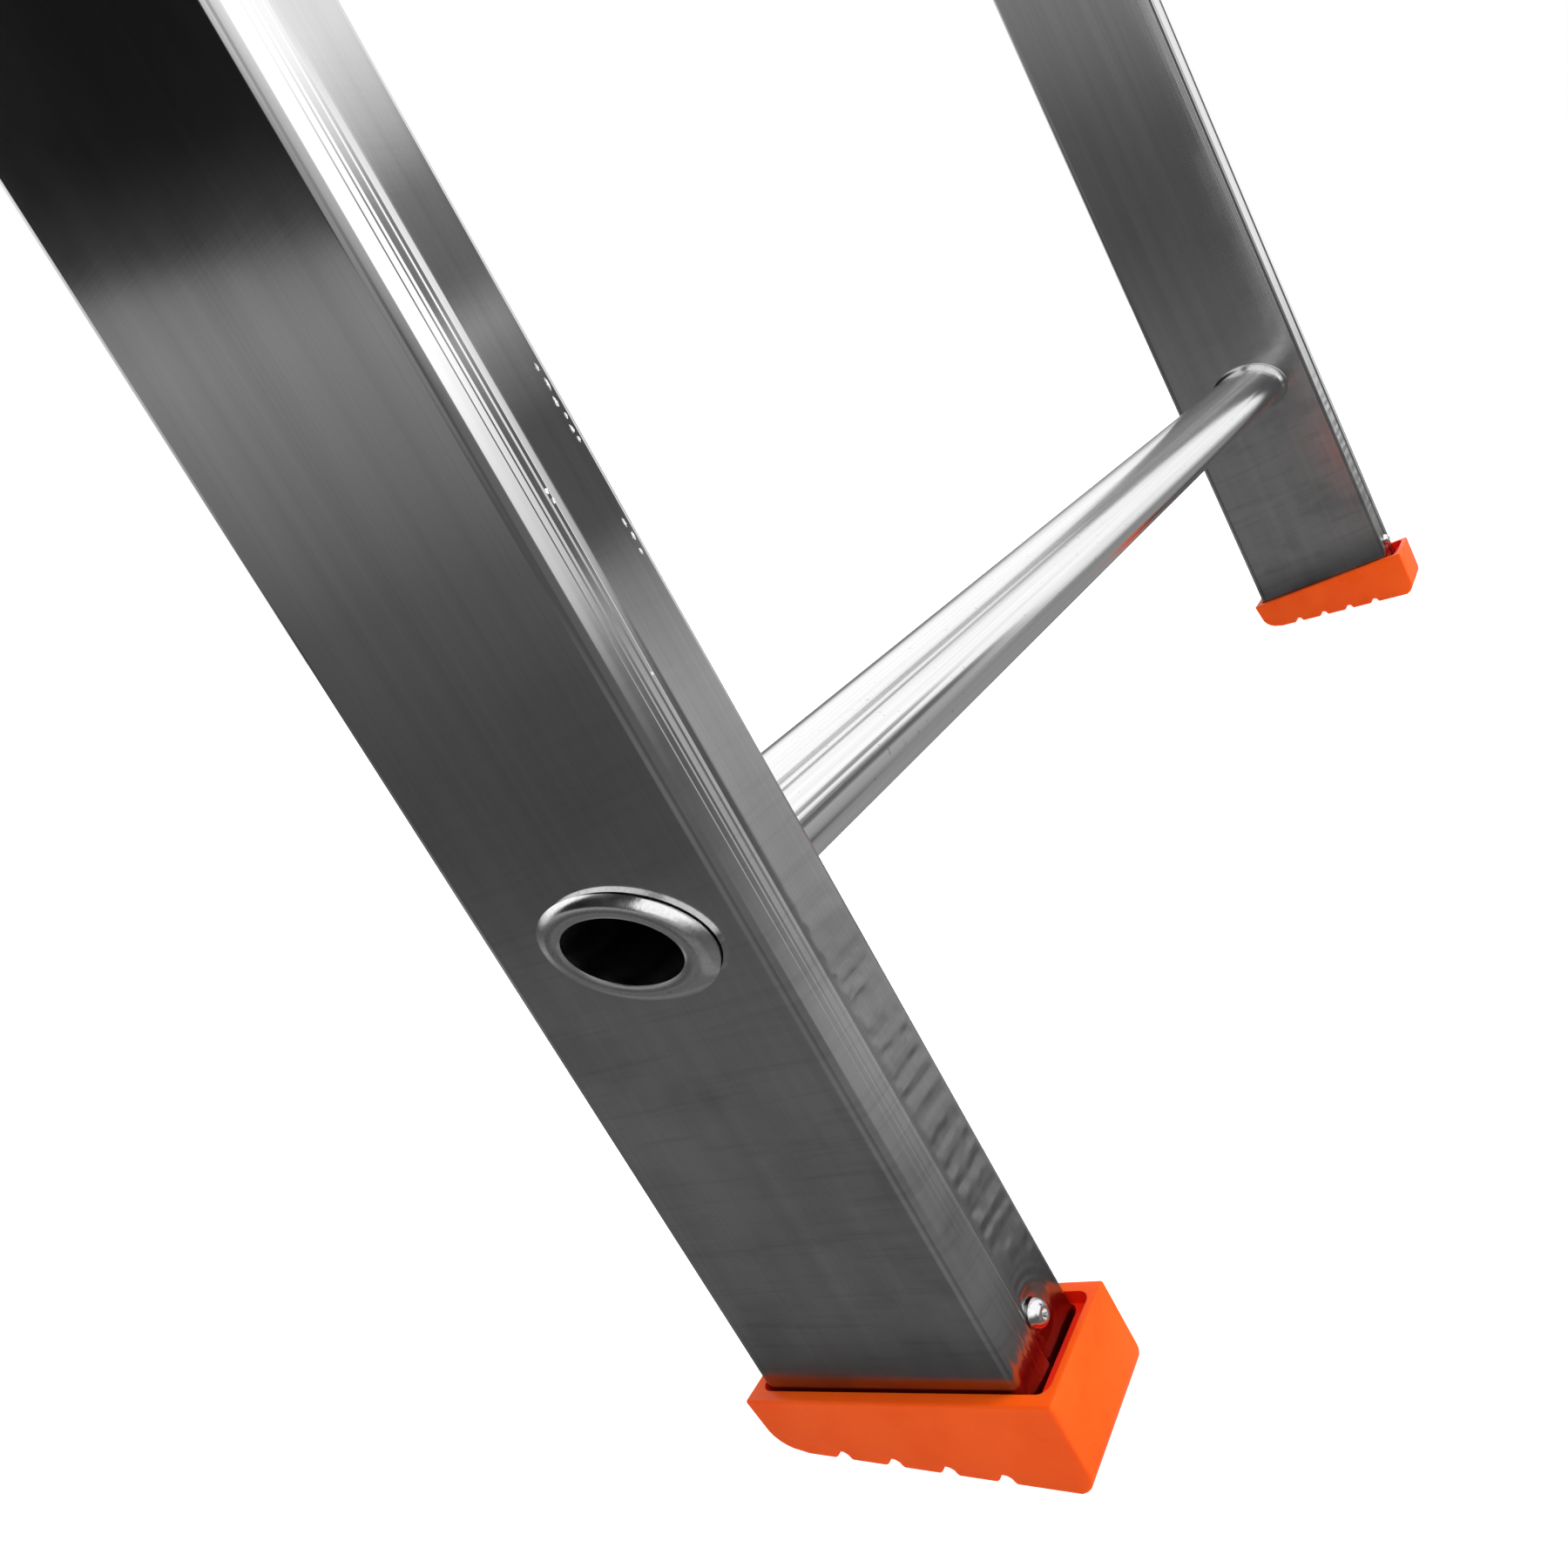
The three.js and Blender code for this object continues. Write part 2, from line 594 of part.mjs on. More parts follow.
function flySection() {
  const group = new THREE.Group();
  const guideHeight = FLY_BOTTOM_TRIM + GUIDE_FROM_END;
  const drop = new THREE.Vector3(STILE_OUTER, -FLY_FRONT, 0);
  const toStile = (p) => p.clone().add(drop);
  const holes = guideRivetPoints(guideHeight).map((p) => (
    wallHole(p.clone().add(new THREE.Vector3(STILE_OUTER, 0, 0)), OUTWARDS)
  ));
  for (const point of bracketRivetPoints()) {
    holes.push(wallHole(toStile(point).setX(STILE_THICK), INWARDS));
  }
  holes.push(pinHoleThroughWall().translate(drop.x, drop.y, drop.z));
  addPair(group, 'fly_stile', leftStile(holes, FLY_BOTTOM_TRIM), ALUMINIUM);
  addRungs(group, 'fly');
  const cap = leftCap();
  addPair(group, 'fly_top_cap', cap.clone().translate(0, 0, STILE_LENGTH), ORANGE);
  addPair(group, 'fly_bottom_cap', cap.clone().scale(1, 1, -1).translate(0, 0, FLY_BOTTOM_TRIM), ORANGE);
  addGuides(group, 'fly', guideHeight, 1);
  const hooks = new THREE.Group();
  addPair(hooks, 'hook_bracket', leftHookBracket(), STEEL);
  addPair(hooks, 'hook', leftHook(), STEEL);
  addPair(hooks, 'hook_pin', leftHookPin(), STEEL);
  const grip = BRACKET_THICK + CLEARANCE + STILE_WALL;
  for (const [i, point] of bracketRivetPoints().entries()) {
    addPair(hooks, `hook_bracket_rivet_${i + 1}`, rivet(point, INWARDS, grip), STEEL);
  }
  hooks.position.y = -FLY_FRONT;
  group.add(hooks);
  group.position.set(0, FLY_FRONT, FLY_RAISED_RUNGS * RUNG_PITCH);
  return group;
}

// ---- assembly -------------------------------------------------------------

const ladder = new THREE.Group();
ladder.name = 'extension_ladder';
const leaning = new THREE.Group();
leaning.rotation.x = LEAN - Math.PI / 2;
leaning.add(baseSection(), flySection());
ladder.add(leaning);

// Stands the ladder on z = 0 with its bounding box centred over the origin.
const bounds = new THREE.Box3().setFromObject(ladder, true);
const middle = bounds.getCenter(new THREE.Vector3());
leaning.position.set(-middle.x, -middle.y, -bounds.min.z);

export default ladder;
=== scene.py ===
import json
import math
import bmesh
import bpy
from mathutils import Matrix, Vector, noise


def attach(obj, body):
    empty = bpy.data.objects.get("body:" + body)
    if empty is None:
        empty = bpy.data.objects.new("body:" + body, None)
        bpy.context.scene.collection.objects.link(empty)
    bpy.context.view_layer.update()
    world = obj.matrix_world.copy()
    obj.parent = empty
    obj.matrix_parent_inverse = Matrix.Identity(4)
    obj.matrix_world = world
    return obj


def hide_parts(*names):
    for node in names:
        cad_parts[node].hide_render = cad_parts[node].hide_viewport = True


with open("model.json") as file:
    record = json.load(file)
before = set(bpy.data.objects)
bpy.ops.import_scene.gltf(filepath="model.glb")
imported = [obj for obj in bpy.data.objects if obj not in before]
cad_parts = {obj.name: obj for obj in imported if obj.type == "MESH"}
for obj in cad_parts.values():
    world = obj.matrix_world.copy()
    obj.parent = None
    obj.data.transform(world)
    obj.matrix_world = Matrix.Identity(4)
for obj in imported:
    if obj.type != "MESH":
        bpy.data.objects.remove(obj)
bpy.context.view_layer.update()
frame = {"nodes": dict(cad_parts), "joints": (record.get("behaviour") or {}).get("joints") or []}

MM = 0.001
CLEARANCE = 0.3

# The leaning frame: x along the rungs, y from the climber to the wall, z up the stiles.
UP = Vector(frame["joints"][0]["axis"]).normalized()
ACROSS = Vector((1.0, 0.0, 0.0))
REAR = UP.cross(ACROSS)
LEANING = Matrix((ACROSS, REAR, UP)).transposed().to_4x4()


def leaning_box(node):
    """The node's box in the leaning frame, as its low and high corner."""
    obj = frame["nodes"][node]
    points = [LEANING.transposed() @ (obj.matrix_world @ v.co) for v in obj.data.vertices]
    low = Vector([min(p[i] for p in points) for i in range(3)])
    high = Vector([max(p[i] for p in points) for i in range(3)])
    return low, high


def smoothstep(low, high, value):
    t = min(max((value - low) / (high - low), 0.0), 1.0)
    return t * t * (3.0 - 2.0 * t)


# ---- pieces ------------------------------------------------------------------

def add_piece(name, bm, body, node, materials, smooth_angle=32.0):
    """Turns a leaning-frame bmesh into a finished piece standing for a CAD node."""
    mesh = bpy.data.meshes.new(name)
    bmesh.ops.recalc_face_normals(bm, faces=bm.faces)
    bm.to_mesh(mesh)
    bm.free()
    mesh.transform(LEANING)
    obj = bpy.data.objects.new(name, mesh)
    bpy.context.collection.objects.link(obj)
    for material in materials:
        mesh.materials.append(material)
    finish_shading(mesh, smooth_angle)
    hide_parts(node)
    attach(obj, body)
    return obj


def finish_shading(mesh, angle):
    mesh.polygons.foreach_set("use_smooth", [True] * len(mesh.polygons))
    mesh.set_sharp_from_angle(angle=math.radians(angle))


def temporary(bm):
    mesh = bpy.data.meshes.new("temporary")
    bm.to_mesh(mesh)
    bm.free()
    obj = bpy.data.objects.new("temporary", mesh)
    bpy.context.collection.objects.link(obj)
    return obj


def applied(obj):
    """The object's mesh with its modifiers applied, as a bmesh; the object is removed."""
    depsgraph = bpy.context.evaluated_depsgraph_get()
    mesh = bpy.data.meshes.new_from_object(obj.evaluated_get(depsgraph))
    bm = bmesh.new()
    bm.from_mesh(mesh)
    bpy.data.objects.remove(obj)
    bpy.data.meshes.remove(mesh)
    return bm


def cut(bm, cutter_bm):
    body = temporary(bm)
    cutter = temporary(cutter_bm)
    modifier = body.modifiers.new("cut", "BOOLEAN")
    modifier.operation = "DIFFERENCE"
    modifier.solver = "EXACT"
    modifier.object = cutter
    result = applied(body)
    bpy.data.objects.remove(cutter)
    return result


def bevelled(bm, width, segments, angle=30.0):
    obj = temporary(bm)
    modifier = obj.modifiers.new("bevel", "BEVEL")
    modifier.width = width
    modifier.segments = segments
    modifier.limit_method = "ANGLE"
    modifier.angle_limit = math.radians(angle)
    modifier.use_clamp_overlap = True
    return applied(obj)


def mirrored(bm):
    bmesh.ops.scale(bm, vec=(-1.0, 1.0, 1.0), verts=bm.verts)
    bmesh.ops.reverse_faces(bm, faces=bm.faces)
    return bm


def moved(bm, offset):
    bmesh.ops.translate(bm, vec=offset, verts=bm.verts)
    return bm


def arc(cx, cy, radius, start, end, steps):
    """Points of an arc, angles in degrees."""
    points = []
    for i in range(steps + 1):
        a = math.radians(start + (end - start) * i / steps)
        points.append((cx + radius * math.cos(a), cy + radius * math.sin(a)))
    return points


def loft(bm, rings, closed_ends=True, material_of=None):
    """Skins rings of equal point counts; each ring is a closed loop."""
    loops = [[bm.verts.new(p) for p in ring] for ring in rings]
    count = len(loops[0])
    for low, high in zip(loops, loops[1:]):
        for i in range(count):
            j = (i + 1) % count
            face = bm.faces.new((low[i], low[j], high[j], high[i]))
            if material_of:
                face.material_index = material_of(face)
    if closed_ends:
        bm.faces.new(list(reversed(loops[0])))
        bm.faces.new(loops[-1])
    return loops


# ---- stiles ------------------------------------------------------------------

THICK = 23.0
DEPTH = 64.0
CORNER = 3.0
INNER_CORNER = 1.5
BAND = 8.8
BAND_SLOPE = 0.085
BAND_EDGE = 5.7
FLAT_SLOPE = 0.012
RIDGE_AT = 7.9
GROOVE = 1.3
GROOVE_DEPTH = 0.75
LAND_DEPTH = 0.4
RIPPLE_TOP = 112.0
RIPPLE_PITCH = 4.7
FINE_PITCH = 1.7
RIPPLE_HEIGHT = 0.09
RIVET_X = 12.3
RIVET_Z = 13.5
RING_RADIUS = 6.0
RING_PITCH = 2.1
RING_HEIGHT = 0.05
DENT_RADIUS = 4.2
DENT_DEPTH = 0.35
FINE_ROW = 0.55
COARSE_ROW = 24.0

SIDE_FACE, BAND_FACE, LAND_FACE, NICK_FACE = 0, 1, 2, 3


def band_depth(x):
    """The band slopes back to the outer edge; beyond its edge it is nearly flat, with
    a scored line at the edge and a low ridge next to the groove."""
    score = 0.07 * math.exp(-((x - BAND_EDGE) / 0.2) ** 2)
    hair = 0.05 * math.exp(-((x - 4.3) / 0.16) ** 2)
    ridge = 0.030 * math.exp(-((x - RIDGE_AT) / 0.32) ** 2)
    slope = BAND_SLOPE * max(BAND_EDGE - x, 0.0) + FLAT_SLOPE * (BAND - x)
    return slope + score + hair - ridge


def stile_outline():
    """Left stile, millimetres: x from the outer face inwards, y from the front back."""
    points = arc(CORNER, CORNER + band_depth(CORNER), CORNER, 180.0, 268.0, 8)
    steps = 36
    for i in range(1, steps + 1):
        x = CORNER + (BAND - 0.25 - CORNER) * i / steps
        points.append((x, band_depth(x)))
    land = BAND + GROOVE
    points += [(BAND, 0.12), (BAND + 0.3, GROOVE_DEPTH * 0.8), (BAND + 0.6, GROOVE_DEPTH)]
    points += [(BAND + 0.9, GROOVE_DEPTH * 0.85), (land - 0.1, LAND_DEPTH + 0.04)]
    points.append((land + 0.3, LAND_DEPTH))
    steps = 20
    flat = THICK - INNER_CORNER - land - 0.3
    for i in range(1, steps):
        points.append((land + 0.3 + flat * i / steps, LAND_DEPTH))
    points += arc(THICK - INNER_CORNER, INNER_CORNER + LAND_DEPTH, INNER_CORNER, -90.0, 0.0, 8)
    points += arc(THICK - CORNER, DEPTH - CORNER, CORNER, 0.0, 90.0, 6)
    points += arc(CORNER, DEPTH - CORNER, CORNER, 90.0, 180.0, 6)
    return points


def press_marks(x, z):
    """Depth of the wavy press marks near the foot: transverse ripples on the land,
    and rings round the rivet."""
    start = BAND + GROOVE
    inside = smoothstep(start, start + 1.0, x) * smoothstep(THICK - 1.0, THICK - 3.2, x)
    distance = math.hypot(x - RIVET_X, z - RIVET_Z)
    away = smoothstep(9.5, 13.0, distance)
    warp = (1.5 * noise.noise(Vector((x * 0.03, 2.0, z * 0.13)))
            + 0.3 * noise.noise(Vector((x * 0.4, 5.0, z * 0.3))))
    wave = math.sin(2.0 * math.pi * (z + warp * 1.4 + 0.05 * x) / RIPPLE_PITCH)
    fine = math.sin(2.0 * math.pi * (z + warp) / FINE_PITCH) * 0.2
    strength = 0.65 + 0.9 * noise.noise(Vector((x * 0.3, 7.0, z * 0.16)))
    fade = smoothstep(RIPPLE_TOP, RIPPLE_TOP - 26.0, z) * smoothstep(13.0, 22.0, z)
    ripples = (wave + fine) * RIPPLE_HEIGHT * strength * fade * away
    near = math.exp(-((distance - RING_RADIUS) / 2.4) ** 2)
    rings = RING_HEIGHT * math.sin(2.0 * math.pi * distance / RING_PITCH) * near
    dent = DENT_DEPTH * math.exp(-(distance / DENT_RADIUS) ** 4)
    return inside * (ripples + rings) + dent * smoothstep(start, start + 0.8, x)


def stile_rows(length, marked):
    rows = []
    z = 0.0
    while z < length:
        rows.append(z)
        z += FINE_ROW if marked and z < RIPPLE_TOP + 2.0 else COARSE_ROW
    return rows + [length]


def left_stile(length, marked):
    """A left stile from height 0, before its holes."""
    outline = stile_outline()
    rings = []
    for z in stile_rows(length, marked):
        ring = []
        for x, y in outline:
            on_land = marked and z < RIPPLE_TOP and y < LAND_DEPTH + 0.1 and x > BAND + GROOVE - 0.2
            extra = press_marks(x, z) if on_land else 0.0
            ring.append(Vector((x, y + extra, z)) * MM)
        rings.append(ring)

    def zone(face):
        middle = face.calc_center_median() / MM
        if middle.y > 1.6:
            return SIDE_FACE
        return BAND_FACE if middle.x < BAND + 0.3 else LAND_FACE

    bm = bmesh.new()
    loft(bm, rings, material_of=zone)
    return bm


def oval_rod(bm, x0, x1, y, z, half_y, half_z, sides=64):
    ring = []
    for i in range(sides):
        a = 2.0 * math.pi * i / sides
        dy, dz = tilted(half_y * math.cos(a), half_z * math.sin(a))
        ring.append((y + dy, z + dz))
    loft(bm, [[Vector((x, p, q)) for p, q in ring] for x in (x0, x1)])


# Height above the stile's end, x from the outer face, length and width of each nick.
NICKS = ((195.4, 20.5, 1.6, 0.5), (192.6, 20.8, 2.4, 0.6), (189.7, 20.4, 2.2, 0.6), (187.2, 20.9, 1.4, 0.5),
         (185.0, 20.6, 1.8, 0.8), (183.3, 20.8, 1.3, 0.6), (177.6, 8.1, 1.5, 0.8), (176.0, 8.4, 1.2, 0.6),
         (168.9, 20.5, 1.8, 0.5), (166.4, 20.8, 2.0, 0.6), (163.8, 20.6, 1.5, 0.5), (146.5, 8.2, 0.9, 0.5))


def nick(bm, height, x, length, width, index):
    """A raised crumb of metal where the edge was knocked, sunk into the front face."""
    matrix = Matrix.Translation(Vector((x, LAND_DEPTH if x > BAND else 0.0, height)) * MM)
    made = bmesh.ops.create_icosphere(bm, subdivisions=3, radius=1.0, matrix=Matrix.Identity(4))
    for vertex in made["verts"]:
        rough = 0.72 + 0.75 * noise.noise(vertex.co * 2.3 + Vector((index * 3.1, 0.0, 0.0)))
        size = Vector((width * 0.4, 0.24, length * 0.45)) * MM
        vertex.co = matrix @ Vector([c * k * rough for c, k in zip(vertex.co, size)])
    for face in {f for v in made["verts"] for f in v.link_faces}:
        face.material_index = NICK_FACE


def build_stiles(prefix, body):
    for side in ("left", "right"):
        node = f"{prefix}_stile_{side}"
        low, high = leaning_box(node)
        bm = left_stile((high.z - low.z) / MM, prefix == "base")
        holes = bmesh.new()
        for rung in rungs_of(prefix):
            rung_low, rung_high = leaning_box(rung)
            middle = (rung_low + rung_high) / 2.0
            oval_rod(holes, -0.01, 0.04, middle.y - low.y, middle.z - low.z,
                     (RUNG_Y + CLEARANCE) * MM, (RUNG_Z + CLEARANCE) * MM)
        bm = cut(bm, holes)
        if (prefix, side) == ("base", "left"):
            for index, (height, x, length, width) in enumerate(NICKS):
                nick(bm, height, x, length, width, index)
        outer = abs(low.x) if side == "left" else abs(high.x)
        moved(bm, (-outer, low.y, low.z))
        if side == "right":
            mirrored(bm)
        # The side, band and land slots carry each face's painted light and shade.
        add_piece(f"{prefix}_stile_{side}_fine", bm, body, node,
                  [stile_side_shaded, stile_band_lit, stile_land_shaded, fresh_metal], 24.0)


# ---- rungs -------------------------------------------------------------------

RUNG_Y = 15.5
RUNG_Z = 9.8
RUNG_TILT = math.radians(15.0)
WALL = 1.5
BEAD_RISE = 2.2
LIP_THICK = 2.5
LIP_Y = 20.0
LIP_Z = 10.6
MOUTH_Y = 13.6
MOUTH_Z = 6.6
RUNG_SAMPLES = 144

# Angle round the rung, width and depth of each lengthwise score.
FLUTES = ((38.0, 2.2, 0.10), (118.0, 2.4, 0.16), (151.0, 2.0, 0.14),
          (205.0, 2.2, 0.12), (262.0, 2.2, 0.12), (320.0, 2.2, 0.12))


def rungs_of(prefix):
    return sorted(n for n in frame["nodes"] if n.startswith(f"{prefix}_rung_"))


def tilted(y, z):
    """The oval is tilted so that its tread is level when the ladder is in use."""
    cos, sin = math.cos(RUNG_TILT), math.sin(RUNG_TILT)
    return y * cos - z * sin, y * sin + z * cos


def flute(angle):
    """Shallow lengthwise scores that a drawn rung keeps from its die."""
    depth = 0.0
    for at, width, amount in FLUTES:
        away = (angle - at + 180.0) % 360.0 - 180.0
        depth += amount * math.exp(-(away / width) ** 2)
    return depth


def rung_rings(inside, outside):
    """Half of the rung from mid-span to its rolled end: (distance, half width,
    half height, how much of the flutes shows)."""
    rings = [(d, RUNG_Y, RUNG_Z, 1.0) for d in (0.0, inside * 0.5, inside - 14.0, inside - 7.5)]
    steps = 9
    for i in range(1, steps + 1):
        t = i / steps
        rise = BEAD_RISE * math.sin(t * math.pi * 0.5) ** 2 if t < 1.0 else BEAD_RISE
        rings.append((inside - 7.0 + 6.2 * t, RUNG_Y + rise, RUNG_Z + rise, 1.0 - t))
    rings.append((inside - 0.25, RUNG_Y + BEAD_RISE * 0.85, RUNG_Z + BEAD_RISE * 0.85, 0.0))
    rings.append((inside, RUNG_Y + BEAD_RISE * 0.55, RUNG_Z + BEAD_RISE * 0.55, 0.0))
    rings += [(inside, RUNG_Y, RUNG_Z, 0.0), (outside, RUNG_Y, RUNG_Z, 0.0)]
    rings.append((outside, LIP_Y - 0.5, LIP_Z - 0.5, 0.0))
    steps = 14
    for i in range(steps + 1):
        t = i / steps
        y = LIP_Y + (MOUTH_Y - LIP_Y) * t
        z = LIP_Z + (MOUTH_Z - LIP_Z) * t
        height = LIP_THICK * math.sin(math.pi * (0.08 + 0.62 * t)) ** 0.7
        rings.append((outside + height, y, z, 0.0))
    rings.append((outside + 0.4, MOUTH_Y - 0.25, MOUTH_Z - 0.1, 0.0))
    rings += [(x, RUNG_Y - WALL, RUNG_Z - WALL, 0.0) for x in (outside - 3.0, inside * 0.5)]
    return rings


def half_rung(inside, outside):
    rings = []
    for distance, half_y, half_z, fluted in rung_rings(inside, outside):
        ring = []
        for i in range(RUNG_SAMPLES):
            angle = 360.0 * i / RUNG_SAMPLES
            a = math.radians(angle)
            sink = flute(angle) * fluted
            y, z = (half_y - sink) * math.cos(a), (half_z - sink) * math.sin(a)
            ring.append((distance, *tilted(y, z)))
        rings.append(ring)
    return rings


def build_rungs(prefix, body):
    stile_low, stile_high = leaning_box(f"{prefix}_stile_right")
    inside = stile_low.x / MM - CLEARANCE
    outside = stile_high.x / MM + CLEARANCE
    right = half_rung(inside, outside)
    left = [[(-x, y, z) for x, y, z in ring] for ring in right[1:]]
    rings = list(reversed(left)) + right
    for node in rungs_of(prefix):
        low, high = leaning_box(node)
        middle = (low + high) / 2.0
        bm = bmesh.new()
        loops = loft(bm, [[Vector(p) * MM + middle for p in ring] for ring in rings], closed_ends=False)
        for i in range(RUNG_SAMPLES):
            j = (i + 1) % RUNG_SAMPLES
            bm.faces.new((loops[-1][i], loops[-1][j], loops[0][j], loops[0][i]))
        add_piece(f"{node}_fine", bm, body, node, [rung_metal], 40.0)


# ---- feet and caps -----------------------------------------------------------

FOOT_SIDE = 3.2
FOOT_FRONT = 6.0
FOOT_REAR = 3.2
FOOT_COLLAR = 8.0
FOOT_GAP = 0.5
SHELF = 2.9
SHELF_REAR = 12.0
POCKET_CORNER = 2.6
ABOVE_COLLAR = 20.0
FRONT_GAP = 4.3
SOLE_REAR = 13.0
TREADS = 5


def foot_profile(tan_lean):
    """Side outline of the foot, millimetres: y is depth and z the height above the
    stile's end. The sole is level with the ground, with arched tread notches."""
    front = -FOOT_FRONT
    rear = DEPTH + FOOT_REAR

    def sole(y):
        return FOOT_COLLAR - SOLE_REAR + (y - rear) * tan_lean

    points = [(front, FOOT_COLLAR), (front, sole(front) + 5.0)]
    for i in range(1, 6):
        a = math.radians(90.0 * i / 6)
        points.append((front + 5.0 - 5.0 * math.cos(a), sole(front + 2.0) + 5.0 - 5.0 * math.sin(a)))
    pitch = (rear - front - 12.0) / TREADS
    for i in range(1, TREADS):
        y = front + 6.5 + i * pitch
        points.append((y - 2.1, sole(y - 2.1)))
        points += [(y + 1.7 * math.cos(a), sole(y) + 0.4 + 1.5 * math.sin(a))
                   for a in (math.radians(180.0 - 30.0 * k) for k in range(7))]
        points.append((y + 2.1, sole(y + 2.1)))
    points.append((rear - 9.0, sole(rear - 9.0)))
    for i in range(1, 7):
        a = math.radians(90.0 * i / 7)
        points.append((rear - 9.0 + 8.0 * math.sin(a), sole(rear - 5.0) + 7.0 - 7.0 * math.cos(a)))
    points.append((rear, FOOT_COLLAR))
    return points


def prism(points, x0, x1):
    """A bmesh whose outline in y and z is swept along x, millimetres."""
    bm = bmesh.new()
    rings = [[Vector((x, y, z)) * MM for y, z in points] for x in (x0, x1)]
    loft(bm, rings)
    bmesh.ops.recalc_face_normals(bm, faces=bm.faces)
    return bm


def upright(points, z0, z1):
    """A bmesh whose outline in x and y is swept up z, millimetres."""
    bm = bmesh.new()
    loft(bm, [[Vector((x, y, z)) * MM for x, y in points] for z in (z0, z1)])
    bmesh.ops.recalc_face_normals(bm, faces=bm.faces)
    return bm


def rounded(x0, y0, x1, y1, radius, steps=6):
    return (arc(x0 + radius, y0 + radius, radius, 180.0, 270.0, steps)
            + arc(x1 - radius, y0 + radius, radius, 270.0, 360.0, steps)
            + arc(x1 - radius, y1 - radius, radius, 0.0, 90.0, steps)
            + arc(x0 + radius, y1 - radius, radius, 90.0, 180.0, steps))


def paint_pocket_shade(bm):
    """Gives the walls and floor of the foot's pocket the deeper red of painted shade, where little light
    reaches.
    """
    for face in bm.faces:
        middle = face.calc_center_median() / MM
        across = -FOOT_GAP - 0.1 < middle.x < THICK + FOOT_GAP + 0.1
        along = -FRONT_GAP - 0.1 < middle.y < DEPTH + FOOT_GAP + 0.1
        below_rim = -0.5 < middle.z < FOOT_COLLAR - 0.35
        face.material_index = int(across and along and below_rim)


def build_feet():
    tan_lean = -REAR.z / REAR.y
    for side in ("left", "right"):
        stile_low, stile_high = leaning_box(f"base_stile_{side}")
        low, high = leaning_box(f"foot_{side}")
        bm = prism(foot_profile(tan_lean), -FOOT_SIDE, THICK + FOOT_SIDE)
        bm = bevelled(bm, 1.9 * MM, 4, 60.0)
        right = THICK + FOOT_GAP
        pocket = rounded(-FOOT_GAP, -FOOT_GAP, right, DEPTH + FOOT_GAP, POCKET_CORNER)
        bm = cut(bm, upright(pocket, -CLEARANCE, ABOVE_COLLAR))
        ledge = rounded(-FOOT_GAP, -FRONT_GAP, right, SHELF_REAR, POCKET_CORNER)
        bm = cut(bm, upright(ledge, FOOT_COLLAR - SHELF, ABOVE_COLLAR))
        bm = bevelled(bm, 0.32 * MM, 2, 50.0)
        paint_pocket_shade(bm)
        outer = abs(stile_low.x) if side == "left" else abs(stile_high.x)
        moved(bm, (-outer, stile_low.y, stile_low.z))
        if side == "right":
            mirrored(bm)
        # The second slot is painted shade: a deeper red inside the pocket.
        add_piece(f"foot_{side}_fine", bm, "base", f"foot_{side}", [orange, pocket_painted_shade], 30.0)


CAP_THICK = 6.7
CAP_CORNER = 4.2
PLUG_INSET = 3.5


def build_cap(node, body):
    """A rounded cap over a stile's end; the bottom caps are turned over."""
    low, high = leaning_box(node)
    upside_down = "bottom" in node
    size = (high - low) / MM
    bm = upright(rounded(0.0, 0.0, size.x, size.y, CAP_CORNER), 0.0, CAP_THICK)
    bm = bevelled(bm, 1.8 * MM, 4, 60.0)
    outline = rounded(PLUG_INSET, PLUG_INSET, size.x - PLUG_INSET, size.y - PLUG_INSET, 2.0)
    plug = upright(outline, 0.2, CAP_THICK - size.z)
    scratch = bpy.data.meshes.new("plug")
    plug.to_mesh(scratch)
    plug.free()
    bm.from_mesh(scratch)
    bpy.data.meshes.remove(scratch)
    if upside_down:
        bmesh.ops.scale(bm, vec=(1.0, 1.0, -1.0), verts=bm.verts)
        bmesh.ops.reverse_faces(bm, faces=bm.faces)
        moved(bm, (low.x, low.y, low.z + CAP_THICK * MM))
    else:
        moved(bm, (low.x, low.y, high.z - CAP_THICK * MM))
    add_piece(f"{node}_fine", bm, body, node, [orange], 30.0)


# ---- small metal parts -------------------------------------------------------

FOOT_HEAD_HEIGHT = 1.9
HEAD_HEIGHT = 2.0
RIVET_SIDES = 40


def rivet_profile(head, height, length):
    """Radius and height of a blind rivet: a low dome with the mandrel's dimple, then
    the shank and the bulb behind."""
    points = [(0.0, height * 0.45), (head * 0.2, height * 0.45), (head * 0.27, height * 0.62),
              (head * 0.33, height * 0.93)]
    steps = 8
    for i in range(1, steps + 1):
        t = i / steps
        points.append((head * (0.38 + 0.62 * t), height * math.cos(t * math.pi * 0.5) ** 0.6 + 0.0001 * MM))
    shank = head * 0.57
    points += [(shank, 0.0), (shank, -length * 0.6), (head * 0.9, -length * 0.7),
               (head * 0.8, -length * 0.9), (0.0, -length)]
    return points


